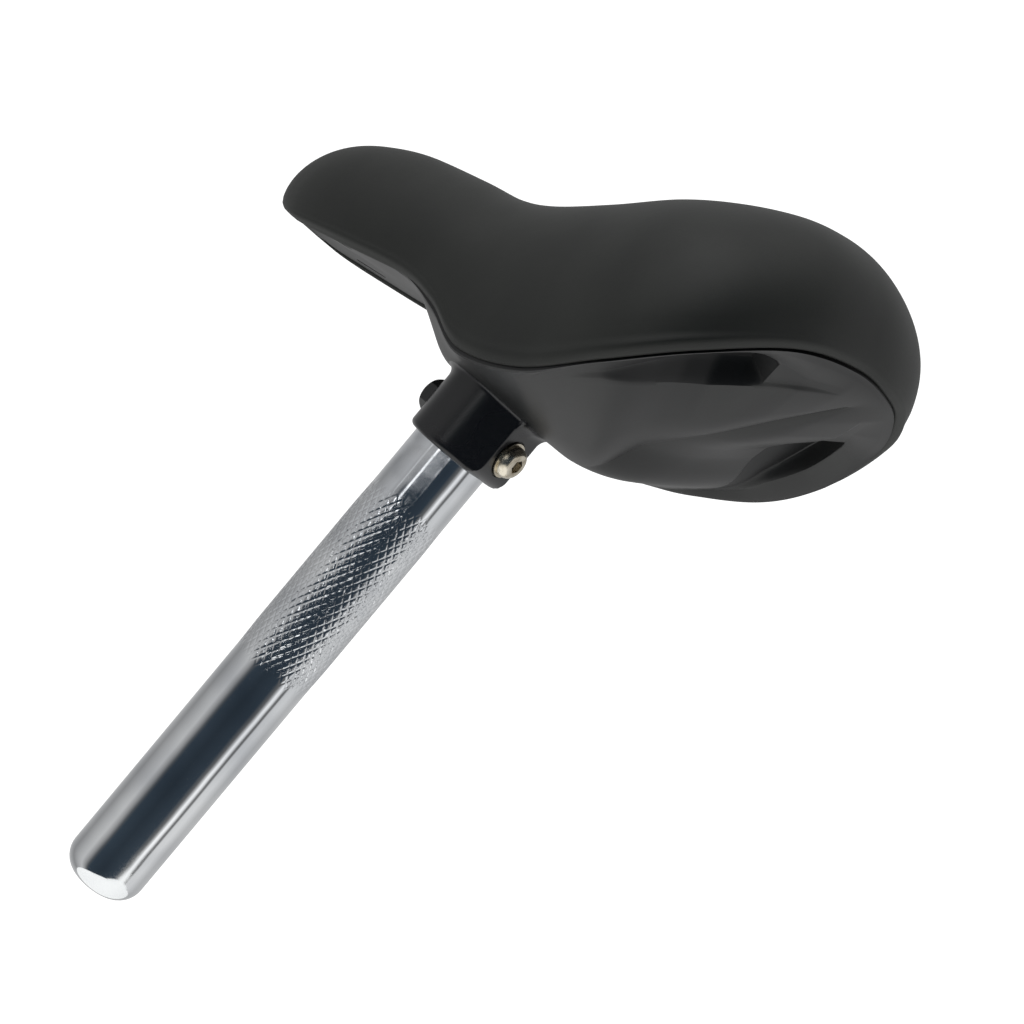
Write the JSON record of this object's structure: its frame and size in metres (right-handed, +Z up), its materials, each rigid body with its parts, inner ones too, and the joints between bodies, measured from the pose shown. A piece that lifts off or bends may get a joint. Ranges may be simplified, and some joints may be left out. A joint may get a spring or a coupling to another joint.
{
  "type": "kids bike saddle",
  "caption": "Small padded bicycle saddle on a moulded base, cross-bolted to a chromed seat post with a knurled grip band.",
  "frame": {"origin": "on the seat post's axis, in the middle of the plain stretch below its knurled band", "axes": "riding attitude: +X to the saddle's nose, +Y to the rider's left, +Z up; the post leans back 20 degrees"},
  "size_m": [0.2147, 0.1384, 0.2548],
  "materials": {
    "cover_foam": "matte grained skin of self-skinning foam",
    "base_plastic": "satin injection-moulded plastic",
    "post_chrome": "bright chrome plate, knurled band near the collar",
    "bolt_nickel": "warm nickel plate",
    "washer_nickel": "nickel plate",
    "nut_black": "black oxide"
  },
  "bodies": {
    "root": {"saddle_cover": "cover_foam", "base_shell": "base_plastic", "seat_post": "post_chrome", "clamp_bolt": "bolt_nickel", "bolt_washer": "washer_nickel", "clamp_nut": "nut_black"}
  },
  "joints": []
}
